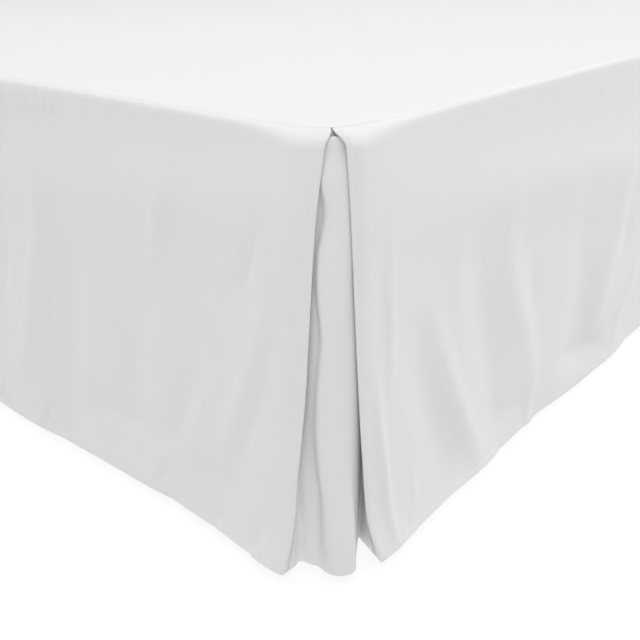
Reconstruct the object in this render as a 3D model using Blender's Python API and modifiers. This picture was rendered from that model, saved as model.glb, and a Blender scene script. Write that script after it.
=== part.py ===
"""Bed skirt with tailored drops and corner kick pleats, on a plain bed base.

Metres, +Z up. The head of the bed is towards +Y and the foot towards -Y.
The skirt's edge is one path: down the left side, round the left foot corner, along
the foot, round the right foot corner and up the right side. A point of the cloth is
given by its distance along that path, its distance out from it, and its depth below
the deck.
"""
import functools
import math

import bmesh
import bpy
import numpy as np
from mathutils import Matrix, Vector

# Driving dimensions
BED_WIDTH = 1.524
BED_LENGTH = 2.032
DROP = 0.384
DECK_Z = 0.392
FOOT_Y = -0.998
CLOTH = 0.002
GAP = 0.0003
DECK_GAP = 0.0008

# The edge that the cloth falls over
CORNER_RADIUS = 0.036
SEAM_INSET = 0.012
BEND_DEPTH = 0.012

# The bed base
BASE_INSET = 0.004
BASE_HEIGHT = 0.206
BASE_EDGE_RADIUS = 0.010
LEG_TOP_RADIUS = 0.032
LEG_FOOT_RADIUS = 0.024
LEG_INSET = 0.14

# Hang of the drops: how far the plain hem stands out, and how late it starts to
PLAIN_FLARE = 0.0105
FLARE_POWER = 1.25

# Pleat sections, a row for each height. "below" is the depth below the deck, and each
# pair is a place on the section: distance along the edge from the corner's middle, and
# distance out from the edge.
PLEAT_COLUMNS = ("below", "left_fold", "left_seam", "rise", "crest", "shoulder", "flank",
                 "right_seam", "right_fold")
PLEAT_SECTIONS = (
    (0.016, (-0.0050, 0.0046), (-0.0360, 0.0008), (-0.0100, -0.0010), (0.0010, -0.0010),
     (0.0090, -0.0010), (0.0160, -0.0010), (0.0420, 0.0008), (0.0104, 0.0046)),
    (0.060, (-0.0093, 0.0086), (-0.0360, 0.0015), (-0.0095, 0.0000), (0.0010, 0.0012),
     (0.0085, 0.0006), (0.0155, 0.0000), (0.0420, 0.0010), (0.0130, 0.0066)),
    (0.130, (-0.0125, 0.0122), (-0.0345, 0.0026), (-0.0098, 0.0040), (0.0008, 0.0052),
     (0.0082, 0.0048), (0.0161, 0.0026), (0.0420, 0.0012), (0.0156, 0.0090)),
    (0.210, (-0.0150, 0.0160), (-0.0310, 0.0044), (-0.0092, 0.0072), (0.0006, 0.0095),
     (0.0091, 0.0090), (0.0173, 0.0055), (0.0420, 0.0008), (0.0184, 0.0120)),
    (0.290, (-0.0187, 0.0224), (-0.0262, 0.0066), (-0.0076, 0.0112), (0.0010, 0.0152),
     (0.0100, 0.0150), (0.0181, 0.0090), (0.0420, -0.0030), (0.0214, 0.0160)),
    (0.345, (-0.0207, 0.0268), (-0.0234, 0.0086), (-0.0080, 0.0142), (0.0012, 0.0215),
     (0.0112, 0.0216), (0.0184, 0.0100), (0.0425, -0.0060), (0.0239, 0.0201)),
    (0.384, (-0.0238, 0.0354), (-0.0210, 0.0102), (-0.0090, 0.0145), (0.0020, 0.0250),
     (0.0118, 0.0247), (0.0192, 0.0092), (0.0435, -0.0075), (0.0281, 0.0296)),
)
PLEAT_TOP = PLEAT_SECTIONS[0][0]
PLEAT_HEM = PLEAT_SECTIONS[-1]

# The two folds close in on each other over the bend, a row for each depth
ARCH_COLUMNS = ("below", "left_fold", "right_fold")
ARCH = (
    (0.000, 0.0010, 0.0020),
    (0.004, -0.0024, 0.0066),
    (0.009, -0.0056, 0.0104),
    (0.016, -0.0071, 0.0127),
)

# Turns of the cloth: how far from a turn's tip the layers beside it lie, and how far
# apart those layers are held where the fold is closed
FOLD_REACH = 0.0040
FOLD_SPREAD = 0.0019
INNER_REACH = 0.0050
INNER_SPREAD = 0.0018
PANEL_REACH = 0.05

# The top of a pleat strip: where its layers behind the folds begin, and how its middle
# lies round the base's edge, from a lean to upright over the first share of the rows
RETURN_TOP = 0.0153
STRIP_TOP_ANGLE = math.radians(65)
STRIP_ROLL_SHARE = 0.625
STRIP_LENGTHENING = 0.009

# How far from a fold its flare still lifts the drop beside it, and its lean shifts it
LEFT_FOLD_FADE = 0.070
RIGHT_FOLD_FADE = 0.110
SHIFT_FADE = 0.090
FADE_POWER = 2.6

# Soft folds of the drops, a row for each fold: distance of its foot from the drop's left
# end as seen from outside, lean towards that end on the way up, half-width, and how far
# it stands out at the hem.
FOLD_COLUMNS = ("place", "lean", "width", "rise")
FOLD_POWER = 1.4
FOOT_FOLDS = (
    (0.165, 0.020, 0.070, 0.0050),
    (0.330, 0.006, 0.055, -0.0030),
    (0.470, -0.010, 0.060, 0.0048),
    (0.640, 0.004, 0.075, -0.0024),
    (0.790, 0.008, 0.060, 0.0040),
    (0.930, -0.004, 0.060, -0.0022),
    (1.085, -0.012, 0.060, 0.0052),
    (1.215, -0.020, 0.050, -0.0016),
    (1.330, -0.024, 0.045, 0.0022),
)
RIGHT_FOLDS = (
    (0.235, 0.020, 0.075, 0.0052),
    (0.345, 0.012, 0.045, -0.0010),
    (0.440, 0.010, 0.050, 0.0014),
    (0.560, -0.004, 0.055, 0.0014),
    (0.690, -0.014, 0.060, -0.0018),
    (0.830, 0.008, 0.070, 0.0044),
    (1.010, -0.006, 0.065, -0.0026),
    (1.160, 0.012, 0.060, 0.0040),
    (1.330, 0.004, 0.075, -0.0020),
    (1.500, -0.010, 0.065, 0.0046),
    (1.690, 0.006, 0.070, -0.0022),
    (1.860, -0.008, 0.060, 0.0036),
)
LEFT_FOLDS = (
    (0.150, 0.006, 0.065, 0.0034),
    (0.320, -0.008, 0.070, -0.0024),
    (0.510, 0.010, 0.065, 0.0046),
    (0.690, -0.004, 0.060, -0.0018),
    (0.850, 0.008, 0.075, 0.0038),
    (1.030, -0.010, 0.060, -0.0026),
    (1.190, 0.004, 0.065, 0.0044),
    (1.370, -0.012, 0.060, 0.0020),
    (1.530, 0.006, 0.070, -0.0020),
    (1.700, -0.016, 0.060, 0.0040),
    (1.830, -0.020, 0.050, -0.0012),
)

# How finely the shapes are divided
BEND_STEPS = 5
HANG_STEPS = 8
HEM_CROWDING = 1.15
WIDEST_COLUMN = 0.055
NARROWEST_COLUMN = 0.006
COLUMN_GROWTH = 0.24
DECK_ARC_STEPS = 12
BASE_CORNER_STEPS = 8
BASE_EDGE_STEPS = 4
LEG_SIDES = 20

# Places on a pleat's section, by their order in pleat_section, and where on it the
# columns of cloth run. The drops are sewn to the strip just before the folds' tips.
PANEL = 1
LEFT_UNDER = 6
RISE = 7
FLANK = 10
RIGHT_UNDER = 11
SECTION_END = 17
SEAM = 1.3
SEAM_HALF_GAP = 0.08
EDGE_STOPS = (1.12, SEAM - SEAM_HALF_GAP)
TURN_STOPS = (SEAM + SEAM_HALF_GAP, 1.5, 1.75, 2.0, 2.4, 3.0, 3.5, 4.0, 4.5, 5.0, 5.5, 6.0)
MIDDLE_STOPS = (6.33, 6.67, 7.0, 7.33, 7.67, 8.0, 8.33, 8.67, 9.0, 9.33, 9.67, 10.0, 10.5)

# Colours, linear
CLOTH_COLOUR = (0.80, 0.80, 0.79, 1.0)
BASE_COLOUR = (0.62, 0.61, 0.58, 1.0)
LEG_COLOUR = (0.32, 0.20, 0.11, 1.0)

# The edge path, from the head end of the left side to the head end of the right side
SIDE_RUN = BED_LENGTH - CORNER_RADIUS
FOOT_RUN = BED_WIDTH - 2 * CORNER_RADIUS
ARC_RUN = CORNER_RADIUS * math.pi / 2
LEFT_CORNER = SIDE_RUN + ARC_RUN / 2
RIGHT_CORNER = LEFT_CORNER + ARC_RUN + FOOT_RUN
PATH_END = RIGHT_CORNER + ARC_RUN / 2 + SIDE_RUN
HALF_WIDTH = BED_WIDTH / 2
HEAD_Y = FOOT_Y + BED_LENGTH
BASE_TOP = DECK_Z - CLOTH / 2 - GAP


def edge_frame(along):
    """Position on the edge path and the direction straight out from it."""
    run = along
    if run <= SIDE_RUN:
        return Vector((-HALF_WIDTH, HEAD_Y - run)), Vector((-1.0, 0.0))
    run -= SIDE_RUN
    if run < ARC_RUN:
        return corner_frame(-1, math.pi + run / CORNER_RADIUS)
    run -= ARC_RUN
    if run <= FOOT_RUN:
        return Vector((-HALF_WIDTH + CORNER_RADIUS + run, FOOT_Y)), Vector((0.0, -1.0))
    run -= FOOT_RUN
    if run < ARC_RUN:
        return corner_frame(1, 1.5 * math.pi + run / CORNER_RADIUS)
    run -= ARC_RUN
    return Vector((HALF_WIDTH, FOOT_Y + CORNER_RADIUS + run)), Vector((1.0, 0.0))


def corner_frame(side, angle):
    """Position and outward direction on a rounded foot corner; side is -1 or 1."""
    centre = Vector((side * (HALF_WIDTH - CORNER_RADIUS), FOOT_Y + CORNER_RADIUS))
    out = Vector((math.cos(angle), math.sin(angle)))
    return centre + CORNER_RADIUS * out, out


def cloth_point(along, out, below):
    """World position of a point of the skirt. Cloth that swings out also rises a little."""
    out = float(out)
    below = float(below)
    place, outward = edge_frame(float(along))
    swing = max(out, 0.0) ** 2 / (2 * DROP) * (max(below, 0.0) / DROP) ** 2
    flat = place + out * outward
    return Vector((flat.x, flat.y, DECK_Z - below + swing))


def even_steps(count):
    return [index / count for index in range(count + 1)]


def unit(vector):
    return vector / np.linalg.norm(vector)


def hermite(start, leave, end, arrive, t):
    """Cubic from start to end with the given slopes; t runs from 0 to 1."""
    return ((1 + 2 * t) * (1 - t) ** 2 * start + t * (1 - t) ** 2 * leave
            + t * t * (3 - 2 * t) * end + t * t * (t - 1) * arrive)


def smooth_between(levels, values, at):
    """Smooth curve through values given at rising levels."""
    slopes = np.gradient(values, levels, axis=0)
    index = int(np.clip(np.searchsorted(levels, at) - 1, 0, len(levels) - 2))
    span = levels[index + 1] - levels[index]
    t = np.clip((at - levels[index]) / span, 0.0, 1.0)
    return hermite(values[index], span * slopes[index],
                   values[index + 1], span * slopes[index + 1], t)


def spline(points, at):
    """Curve through a row of points; at is a point's index, or a place between two."""
    index = int(min(max(math.floor(at), 0), len(points) - 2))
    before = points[max(index - 1, 0)]
    start, end = points[index], points[index + 1]
    after = points[min(index + 2, len(points) - 1)]
    chord = np.linalg.norm(end - start)
    leave = chord * unit(end - before)
    arrive = chord * unit(after - start)
    return hermite(start, leave, end, arrive, at - index)


def pleat_keys(below):
    """The named places of the pleat's section at one depth."""
    levels = np.array([row[0] for row in PLEAT_SECTIONS])
    keys = {}
    for column, name in enumerate(PLEAT_COLUMNS[1:], start=1):
        values = np.array([row[column] for row in PLEAT_SECTIONS])
        keys[name] = smooth_between(levels, values, max(below, PLEAT_TOP))
    return keys


def beside_turn(tip, toward_outer, toward_inner, reach, spread):
    """The points on either side of a fold's tip, held apart where the fold is closed."""
    outer = unit(toward_outer - tip)
    inner = unit(toward_inner - tip)
    closed = max(0.0, float(outer @ inner))
    lift = np.array((0.0, spread * closed))
    return tip + reach * outer + lift, tip + reach * inner - lift


@functools.lru_cache(maxsize=None)
def pleat_section(below):
    """Points of the whole pleat at one depth, from beside the left fold to beside the right."""
    keys = pleat_keys(below)
    away = np.array((PANEL_REACH, 0.0))
    left_panel, left_return = beside_turn(
        keys["left_fold"], keys["left_fold"] - away, keys["left_seam"], FOLD_REACH, FOLD_SPREAD)
    left_back, left_under = beside_turn(
        keys["left_seam"], left_return, keys["rise"], INNER_REACH, INNER_SPREAD)
    right_panel, right_return = beside_turn(
        keys["right_fold"], keys["right_fold"] + away, keys["right_seam"], FOLD_REACH, FOLD_SPREAD)
    right_back, right_under = beside_turn(
        keys["right_seam"], right_return, keys["flank"], INNER_REACH, INNER_SPREAD)
    return np.array([
        left_panel - away, left_panel, keys["left_fold"], left_return, left_back,
        keys["left_seam"], left_under, keys["rise"], keys["crest"], keys["shoulder"],
        keys["flank"], right_under, keys["right_seam"], right_back, right_return,
        keys["right_fold"], right_panel, right_panel + away])


def from_fold(section, sign, index):
    """A place on the pleat's section, counted from the side of the given fold."""
    if sign < 0:
        return spline(section, index)
    return spline(section, SECTION_END - index)


def row_places():
    """Rows of the cloth: first over the bend, by its turn, then down, by depth."""
    bend = [("bend", step) for step in even_steps(BEND_STEPS)[:-1]]
    hang = [("hang", step) for step in even_steps(HANG_STEPS)]
    return bend + hang


def hang_depth(step, start):
    """Depth of a hanging row, with the rows a little closer towards the hem."""
    return start + (DROP - start) * (1 - (1 - step) ** HEM_CROWDING)


def bend_point(step, depth, out):
    """Distance out and depth on the bend, a quarter ellipse from the seam to the hang."""
    turn = step * math.pi / 2
    return -SEAM_INSET + (out + SEAM_INSET) * math.sin(turn), depth * (1 - math.cos(turn))


def fade(distance, reach):
    return 1.0 / (1.0 + (max(distance, 0.0) / reach) ** FADE_POWER)


def hem_place(side):
    """Where a fold's tip lies along the path at the hem, from the corner's middle."""
    return PLEAT_HEM[PLEAT_COLUMNS.index(side)][0]


def arch_place(below, side):
    """Where a fold's edge lies along the path while it is still on the bend."""
    depths = [row[0] for row in ARCH]
    places = [row[ARCH_COLUMNS.index(side)] for row in ARCH]
    return float(np.interp(below, depths, places))


def fold_shift(side, below):
    """How far a fold's tip has moved along the path from its place at the hem."""
    if below < PLEAT_TOP:
        return arch_place(below, side) - hem_place(side)
    return float(pleat_keys(below)[side][0]) - hem_place(side)


def soft_folds(folds, place, below):
    """How far the soft folds stand out at a place of a drop."""
    share = below / DROP
    out = 0.0
    for row in folds:
        fold = dict(zip(FOLD_COLUMNS, row))
        middle = fold["place"] - fold["lean"] * (1 - share)
        bump = math.exp(-((place - middle) / fold["width"]) ** 2)
        out += fold["rise"] * share ** FOLD_POWER * bump
    return out


def drop_out(drop, place, below):
    """Distance out of a drop's face, at a place along it."""
    share = below / DROP
    out = PLAIN_FLARE * share ** FLARE_POWER + soft_folds(drop["folds"], place, below)
    for end in drop["ends"]:
        layer = from_fold(pleat_section(below), end["sign"], PANEL)[1]
        weight = fade(abs(place - end["fold_at_hem"]), end["fade"])
        out = weight * layer + (1 - weight) * out
    return out


def drop_end(side, start, end):
    """One end of a drop that goes into a pleat; a left fold is at the drop's right end."""
    if side == "left_fold":
        return {"side": side, "sign": -1, "corner": end, "fade": LEFT_FOLD_FADE,
                "fold_at_hem": end - start + hem_place(side)}
    return {"side": side, "sign": 1, "corner": start, "fade": RIGHT_FOLD_FADE,
            "fold_at_hem": hem_place(side)}


def drop_span(ends, length):
    """First and last place of a drop's own columns at the hem, clear of its folds' turns."""
    first, last = 0.0, length
    for end in ends:
        if end["side"] == "right_fold":
            first = end["fold_at_hem"] + FOLD_REACH
        else:
            last = end["fold_at_hem"] - FOLD_REACH
    return first, last


def panel_places(drop):
    """Places of a drop's columns between its two ends, close together beside a fold."""
    first, last = drop["span"]
    places = []
    place = first
    while place < last:
        places.append(place)
        nearest = min(abs(place - end["fold_at_hem"]) for end in drop["ends"])
        place += min(NARROWEST_COLUMN + COLUMN_GROWTH * nearest, WIDEST_COLUMN)
    scale = (last - first) / (places[-1] - first)
    return [first + (place - first) * scale for place in places]


def panel_point(drop, place, row):
    """A point of a drop's face, at its place at the hem and its row."""
    kind, step = row
    pulls = [(end["side"], fade(abs(place - end["fold_at_hem"]), SHIFT_FADE))
             for end in drop["ends"]]
    strongest = max(pull for _, pull in pulls)
    depth = BEND_DEPTH + strongest * (PLEAT_TOP - BEND_DEPTH)
    if kind == "bend":
        out, below = bend_point(step, depth, drop_out(drop, place, depth))
    else:
        below = hang_depth(step, depth)
        out = drop_out(drop, place, below)
    shift = sum(pull * fold_shift(side, below) for side, pull in pulls)
    return cloth_point(drop["start"] + place + shift, out, below)


def edge_point(end, row, stop):
    """A point beside the edge of a drop, where the drop starts to turn in at its fold."""
    kind, step = row
    sign = end["sign"]
    if kind == "hang":
        below = hang_depth(step, PLEAT_TOP)
        place = from_fold(pleat_section(below), sign, stop)
        return cloth_point(end["corner"] + place[0], place[1], below)
    section = pleat_section(PLEAT_TOP)
    layer = from_fold(section, sign, PANEL)[1]
    turned = from_fold(section, sign, stop)
    out, below = bend_point(step, PLEAT_TOP, layer)
    flat = arch_place(below, end["side"]) + sign * FOLD_REACH * (SEAM - stop)
    share = step ** 3
    along = (1 - share) * flat + share * turned[0]
    return cloth_point(end["corner"] + along, out + share * (turned[1] - layer), below)


def drop_columns(drop):
    """Functions of the row, one for each column of a drop, from left to right."""
    columns = [lambda row, p=place: panel_point(drop, p, row) for place in panel_places(drop)]
    for end in drop["ends"]:
        turned = [lambda row, e=end, s=stop: edge_point(e, row, s) for stop in EDGE_STOPS]
        if end["side"] == "left_fold":
            columns = columns + turned
        else:
            columns = turned[::-1] + columns
    return columns


def strip_top(place, step):
    """Distance out and depth of a strip's middle beside the base's rounded edge."""
    centre_out = -BASE_INSET - BASE_EDGE_RADIUS
    centre_below = CLOTH / 2 + GAP + BASE_EDGE_RADIUS
    radius = place[1] - centre_out
    roll = min(step / STRIP_ROLL_SHARE, 1.0)
    turn = STRIP_TOP_ANGLE + (math.pi / 2 - STRIP_TOP_ANGLE) * roll
    straight = max(step - STRIP_ROLL_SHARE, 0.0) * STRIP_LENGTHENING
    out = centre_out + radius * math.sin(turn)
    return out, centre_below - radius * math.cos(turn) + straight


def pleat_point(corner, stop, row):
    """A point of a pleat strip; stop is a place on the section."""
    kind, step = row
    if kind == "hang":
        below = hang_depth(step, PLEAT_TOP)
        place = spline(pleat_section(below), stop)
        return cloth_point(corner + place[0], place[1], below)
    place = spline(pleat_section(PLEAT_TOP), stop)
    middle = np.interp(stop, (LEFT_UNDER, RISE, FLANK, RIGHT_UNDER), (0.0, 1.0, 1.0, 0.0))
    middle_out, middle_below = strip_top(place, step)
    behind_below = RETURN_TOP + (PLEAT_TOP - RETURN_TOP) * step
    out = (1 - middle) * place[1] + middle * middle_out
    below = (1 - middle) * behind_below + middle * middle_below
    return cloth_point(corner + place[0], out, below)


def pleat_columns(corner):
    """Functions of the row, one for each column of a pleat strip."""
    right_stops = tuple(SECTION_END - stop for stop in reversed(TURN_STOPS))
    stops = TURN_STOPS + MIDDLE_STOPS + right_stops
    return [lambda row, s=stop: pleat_point(corner, s, row) for stop in stops]


def clear_scene():
    for old in list(bpy.data.objects):
        bpy.data.objects.remove(old, do_unlink=True)


def make_collection(name):
    collection = bpy.data.collections.new(name)
    bpy.context.scene.collection.children.link(collection)
    return collection


def make_material(name, colour, roughness):
    material = bpy.data.materials.new(name)
    material.use_nodes = True
    shader = material.node_tree.nodes["Principled BSDF"]
    shader.inputs["Base Color"].default_value = colour
    shader.inputs["Roughness"].default_value = roughness
    shader.inputs["Metallic"].default_value = 0.0
    return material


def finish_object(name, mesh, material, collection):
    part = bpy.data.objects.new(name, mesh)
    part.data.materials.append(material)
    collection.objects.link(part)
    return part


def make_sheet(name, columns, material, collection):
    """A grid with a column for each function, moved to the cloth's form and thickened."""
    rows = row_places()
    mesh = bpy.data.meshes.new(name)
    grid = bmesh.new()
    bmesh.ops.create_grid(grid, x_segments=len(columns) - 1, y_segments=len(rows) - 1, size=0.5)
    for vert in grid.verts:
        column = round((vert.co.x + 0.5) * (len(columns) - 1))
        row = round((0.5 - vert.co.y) * (len(rows) - 1))
        vert.co = columns[column](rows[row])
    grid.to_mesh(mesh)
    grid.free()
    mesh.shade_smooth()
    sheet = finish_object(name, mesh, material, collection)
    solid = sheet.modifiers.new("cloth thickness", "SOLIDIFY")
    solid.thickness = CLOTH
    solid.offset = 0.0
    return sheet


def make_drop(name, start, end, folds, sides, material, collection):
    """A tailored drop between two places of the edge path; sides names its folds."""
    ends = [drop_end(side, start, end) for side in sides]
    drop = {"start": start, "folds": folds, "ends": ends, "span": drop_span(ends, end - start)}
    return make_sheet(name, drop_columns(drop), material, collection)


def deck_outline():
    """Outline of the deck, seen from above, with rounded foot corners."""
    inset = SEAM_INSET + DECK_GAP
    radius = CORNER_RADIUS - inset
    right = HALF_WIDTH - inset
    foot = FOOT_Y + inset
    outline = [Vector((right, HEAD_Y)), Vector((-right, HEAD_Y))]
    for side, first_angle in ((-1, math.pi), (1, 1.5 * math.pi)):
        centre = Vector((side * (right - radius), foot + radius))
        for step in even_steps(DECK_ARC_STEPS):
            angle = first_angle + step * math.pi / 2
            outline.append(centre + radius * Vector((math.cos(angle), math.sin(angle))))
    return outline


def make_deck(material, collection):
    """The flat panel on the base, a filled outline."""
    outline = deck_outline()
    curve = bpy.data.curves.new("deck", "CURVE")
    curve.dimensions = "2D"
    curve.fill_mode = "BOTH"
    curve.extrude = CLOTH / 2
    edge = curve.splines.new("POLY")
    edge.points.add(len(outline) - 1)
    for point, place in zip(edge.points, outline):
        point.co = (place.x, place.y, 0.0, 1.0)
    edge.use_cyclic_u = True
    deck = finish_object("deck", curve, material, collection)
    deck.location.z = DECK_Z
    return deck


def is_upright(edge):
    return abs(edge.verts[0].co.z - edge.verts[1].co.z) > BASE_HEIGHT / 2


def make_base(material, collection):
    """The foundation under the cloth, a box with rounded corners and edges."""
    mesh = bpy.data.meshes.new("bed_base")
    box = bmesh.new()
    bmesh.ops.create_cube(box, size=1.0)
    bmesh.ops.scale(box, vec=(BED_WIDTH - 2 * BASE_INSET, BED_LENGTH - BASE_INSET, BASE_HEIGHT),
                    verts=box.verts)
    corners = [edge for edge in box.edges if is_upright(edge)]
    bmesh.ops.bevel(box, geom=corners, offset=CORNER_RADIUS - BASE_INSET,
                    segments=BASE_CORNER_STEPS, profile=0.5, affect="EDGES")
    rims = [edge for edge in box.edges if not is_upright(edge)]
    bmesh.ops.bevel(box, geom=rims, offset=BASE_EDGE_RADIUS,
                    segments=BASE_EDGE_STEPS, profile=0.5, affect="EDGES")
    box.to_mesh(mesh)
    box.free()
    mesh.shade_smooth()
    base = finish_object("bed_base", mesh, material, collection)
    base.location = (0.0, (FOOT_Y + BASE_INSET + HEAD_Y) / 2, BASE_TOP - BASE_HEIGHT / 2)
    return base


def make_leg(name, x, y, material, collection):
    """A turned tapered leg that stands on the floor under the base."""
    height = BASE_TOP - BASE_HEIGHT - GAP
    mesh = bpy.data.meshes.new(name)
    cone = bmesh.new()
    bmesh.ops.create_cone(cone, cap_ends=True, segments=LEG_SIDES, radius1=LEG_FOOT_RADIUS,
                          radius2=LEG_TOP_RADIUS, depth=height,
                          matrix=Matrix.Translation((0.0, 0.0, height / 2)))
    cone.to_mesh(mesh)
    cone.free()
    mesh.shade_smooth()
    mesh.set_sharp_from_angle(angle=math.radians(40))
    leg = finish_object(name, mesh, material, collection)
    leg.location = (x, y, 0.0)
    return leg


def make_legs(material, collection):
    across = HALF_WIDTH - LEG_INSET
    rows = (("foot", FOOT_Y + LEG_INSET), ("middle", (FOOT_Y + HEAD_Y) / 2),
            ("head", HEAD_Y - LEG_INSET))
    for row_name, y in rows:
        for side_name, x in (("left", -across), ("right", across)):
            make_leg("leg_" + row_name + "_" + side_name, x, y, material, collection)


def make_skirt(material, collection):
    make_deck(material, collection)
    make_drop("side_drop_left", 0.0, LEFT_CORNER, LEFT_FOLDS, ("left_fold",),
              material, collection)
    make_drop("foot_drop", LEFT_CORNER, RIGHT_CORNER, FOOT_FOLDS, ("right_fold", "left_fold"),
              material, collection)
    make_drop("side_drop_right", RIGHT_CORNER, PATH_END, RIGHT_FOLDS, ("right_fold",),
              material, collection)
    make_sheet("corner_pleat_left", pleat_columns(LEFT_CORNER), material, collection)
    make_sheet("corner_pleat_right", pleat_columns(RIGHT_CORNER), material, collection)


def main():
    clear_scene()
    collection = make_collection("bed_skirt_on_a_bed_base")
    cloth = make_material("skirt cloth", CLOTH_COLOUR, 0.9)
    cover = make_material("base cover", BASE_COLOUR, 0.85)
    wood = make_material("leg wood", LEG_COLOUR, 0.5)
    make_skirt(cloth, collection)
    make_base(cover, collection)
    make_legs(wood, collection)


main()
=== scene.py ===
"""Looks of a plain white bed skirt on a bed base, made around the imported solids.

Metres, +Z up. The head of the bed is towards +Y and the foot towards -Y. The skirt's
edge is one path: down the left side, round the left foot corner, along the foot, round
the right foot corner and up the right side. A point of the cloth is given by its
distance along that path, its distance out from it, and its depth below the deck.
"""
import functools
import math

import bmesh
import bpy
import numpy as np
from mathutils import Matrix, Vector, noise


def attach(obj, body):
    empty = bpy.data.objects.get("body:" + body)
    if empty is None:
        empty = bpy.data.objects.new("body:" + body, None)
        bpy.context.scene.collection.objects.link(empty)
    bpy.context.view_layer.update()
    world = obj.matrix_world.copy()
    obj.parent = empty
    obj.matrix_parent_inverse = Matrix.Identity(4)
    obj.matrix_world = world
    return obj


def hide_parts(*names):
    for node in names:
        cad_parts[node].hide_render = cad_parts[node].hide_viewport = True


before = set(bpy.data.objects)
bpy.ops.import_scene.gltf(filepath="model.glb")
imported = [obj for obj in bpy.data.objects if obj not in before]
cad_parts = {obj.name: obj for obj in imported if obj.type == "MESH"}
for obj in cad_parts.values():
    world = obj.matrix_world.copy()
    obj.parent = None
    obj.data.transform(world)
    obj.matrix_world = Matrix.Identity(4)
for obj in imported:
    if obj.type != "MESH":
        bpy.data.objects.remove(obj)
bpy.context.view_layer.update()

# Driving dimensions, as in the solids
BED_WIDTH = 1.524
BED_LENGTH = 2.032
DROP = 0.384
DECK_Z = 0.392
FOOT_Y = -0.998
GAP = 0.0003

# The edge that the cloth falls over, and the base behind it
CORNER_RADIUS = 0.036
SEAM_INSET = 0.012
BEND_DEPTH = 0.012
BASE_INSET = 0.004
BASE_HEIGHT = 0.206
BASE_EDGE_RADIUS = 0.010
BASE_CLEARANCE = 0.001

# The cloth, its hem, whose edge rises over a short step, and the groove of the stitching
THICKNESS = 0.0008
HEM_DEPTH = 0.007
HEM_RISE = 0.00040
HEM_STEP = 0.0008
HEM_GROOVE = 0.00030
HEM_GROOVE_WIDTH = 0.0006

# Slight unevenness of the hanging cloth: its height, its lengths along the edge and down,
# and the depth from which it is full
WAVE_HEIGHT = 0.00035
WAVE_ACROSS = 0.045
WAVE_DOWN = 0.16
WAVE_FULL_DEPTH = 0.1

# Hang of the drops: how far the plain hem stands out, and how late it starts to
PLAIN_FLARE = 0.0105
FLARE_POWER = 1.25

# Pleat sections, a row for each height. "below" is the depth below the deck, and each
# pair is a place on the section: distance along the edge from the corner's middle, and
# distance out from the edge.
PLEAT_COLUMNS = ("below", "left_fold", "left_seam", "rise", "crest", "shoulder", "flank",
                 "right_seam", "right_fold")
PLEAT_SECTIONS = (
    (0.016, (-0.0050, 0.0046), (-0.0360, 0.0008), (-0.0100, -0.0010), (0.0010, -0.0010),
     (0.0090, -0.0008), (0.0160, -0.0002), (0.0420, 0.0008), (0.0104, 0.0046)),
    (0.036, (-0.0072, 0.0066), (-0.0360, 0.0012), (-0.0098, 0.0012), (-0.0054, 0.0038),
     (0.0087, 0.0032), (0.0152, 0.0020), (0.0420, 0.0009), (0.0117, 0.0057)),
    (0.060, (-0.0093, 0.0086), (-0.0360, 0.0015), (-0.0074, 0.0002), (-0.0022, 0.0038),
     (0.0090, 0.0043), (0.0157, 0.0029), (0.0420, 0.0010), (0.0130, 0.0066)),
    (0.095, (-0.0112, 0.0106), (-0.0355, 0.0020), (-0.0116, 0.0030), (-0.0072, 0.0064),
     (0.0090, 0.0060), (0.0163, 0.0041), (0.0420, 0.0011), (0.0144, 0.0078)),
    (0.130, (-0.0125, 0.0122), (-0.0345, 0.0026), (-0.0116, 0.0040), (-0.0072, 0.0082),
     (0.0088, 0.0076), (0.0169, 0.0046), (0.0420, 0.0012), (0.0156, 0.0090)),
    (0.158, (-0.0134, 0.0135), (-0.0335, 0.0032), (-0.0092, 0.0048), (-0.0048, 0.0094),
     (0.0089, 0.0086), (0.0174, 0.0055), (0.0420, 0.0012), (0.0166, 0.0100)),
    (0.210, (-0.0150, 0.0160), (-0.0310, 0.0044), (-0.0122, 0.0060), (-0.0070, 0.0102),
     (0.0094, 0.0104), (0.0182, 0.0070), (0.0420, 0.0008), (0.0184, 0.0120)),
    (0.258, (-0.0172, 0.0197), (-0.0281, 0.0056), (-0.0128, 0.0062), (-0.0072, 0.0124),
     (0.0097, 0.0126), (0.0182, 0.0083), (0.0419, -0.0013), (0.0201, 0.0142)),
    (0.290, (-0.0187, 0.0224), (-0.0262, 0.0066), (-0.0108, 0.0060), (-0.0052, 0.0142),
     (0.0100, 0.0150), (0.0181, 0.0090), (0.0420, -0.0030), (0.0214, 0.0160)),
    (0.312, (-0.0194, 0.0237), (-0.0251, 0.0072), (-0.0086, 0.0052), (-0.0036, 0.0164),
     (0.0105, 0.0176), (0.0182, 0.0095), (0.0421, -0.0042), (0.0222, 0.0170)),
    (0.345, (-0.0207, 0.0268), (-0.0234, 0.0072), (-0.0078, 0.0058), (-0.0024, 0.0198),
     (0.0112, 0.0216), (0.0184, 0.0100), (0.0425, -0.0060), (0.0239, 0.0201)),
    (0.384, (-0.0238, 0.0354), (-0.0214, 0.0090), (-0.0084, 0.0106), (0.0024, 0.0250),
     (0.0118, 0.0247), (0.0192, 0.0092), (0.0435, -0.0075), (0.0281, 0.0296)),
)
PLEAT_TOP = PLEAT_SECTIONS[0][0]

# Tips of the two folds on the bend, where they close in on each other: their distances
# along the edge from the corner's middle
ARCH_COLUMNS = ("below", "left_fold", "right_fold")
ARCH = (
    (0.0000, 0.0012, 0.0023),
    (0.0025, 0.0006, 0.0034),
    (0.0050, -0.0007, 0.0056),
    (0.0090, -0.0030, 0.0084),
    (0.0160, -0.0050, 0.0104),
)
ARCH_UNDER = 0.0014

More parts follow.
